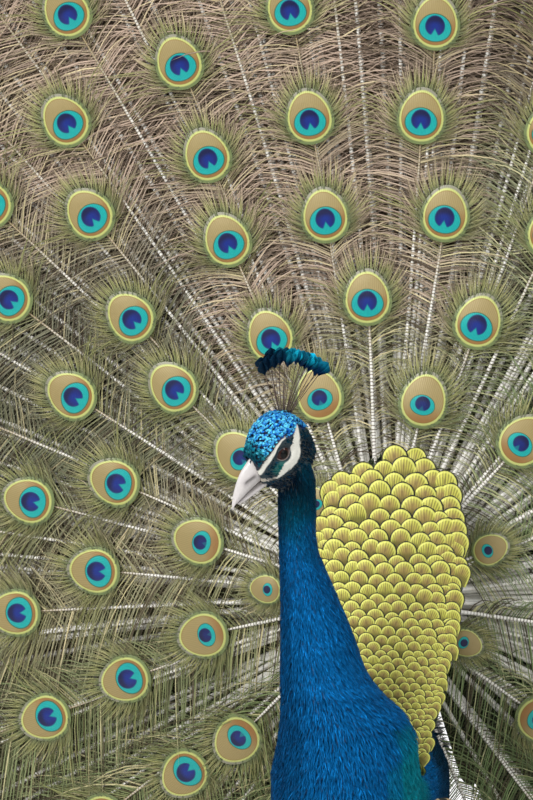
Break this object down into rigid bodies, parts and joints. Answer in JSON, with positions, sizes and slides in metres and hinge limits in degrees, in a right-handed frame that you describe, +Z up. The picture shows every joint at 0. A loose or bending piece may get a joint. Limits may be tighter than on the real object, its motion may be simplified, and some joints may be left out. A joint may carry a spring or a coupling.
{
  "type": "peacock",
  "caption": "Life-size adult male Indian peafowl, standing in display with the train raised in a fan and the head turned to its right; a still model.",
  "frame": {"origin": "on the floor, under the middle of the box round the whole bird", "axes": "+Z up, the bird faces -Y, +X towards its left side, along the spread train"},
  "size_m": [2.1984, 0.4848, 1.775],
  "materials": {
    "blue_plumage": "satin",
    "gold_feather": "satin",
    "train_feather": "matte",
    "tail_feather": "matte",
    "wing_feather": "matte",
    "flight_feather": "matte",
    "down_feather": "matte",
    "thigh_feather": "matte",
    "crest_feather": "satin",
    "bill_horn": "satin",
    "eye_gloss": "gloss",
    "leg_skin": "matte",
    "claw_horn": "satin"
  },
  "bodies": {
    "root": {"back": "gold_feather", "bill_lower": "bill_horn", "bill_upper": "bill_horn", "claw_hind_left": "claw_horn", "claw_hind_right": "claw_horn", "claw_inner_left": "claw_horn", "claw_inner_right": "claw_horn", "claw_middle_left": "claw_horn", "claw_middle_right": "claw_horn", "claw_outer_left": "claw_horn", "claw_outer_right": "claw_horn", "crest": "crest_feather", "eye_left": "eye_gloss", "eye_right": "eye_gloss", "flight_feathers_left": "flight_feather", "flight_feathers_right": "flight_feather", "foot_left": "leg_skin", "foot_right": "leg_skin", "head": "blue_plumage", "neck_lower": "blue_plumage", "neck_upper": "blue_plumage", "rump": "gold_feather", "spur_left": "claw_horn", "spur_right": "claw_horn", "tail": "tail_feather", "tarsus_left": "leg_skin", "tarsus_right": "leg_skin", "thigh_left": "thigh_feather", "thigh_right": "thigh_feather", "train_01": "train_feather", "train_02": "train_feather", "train_03": "train_feather", "train_04": "train_feather", "train_05": "train_feather", "train_06": "train_feather", "train_07": "train_feather", "train_08": "train_feather", "train_09": "train_feather", "train_10": "train_feather", "trunk": "blue_plumage", "undertail": "down_feather", "wing_left": "wing_feather", "wing_right": "wing_feather"}
  },
  "joints": []
}
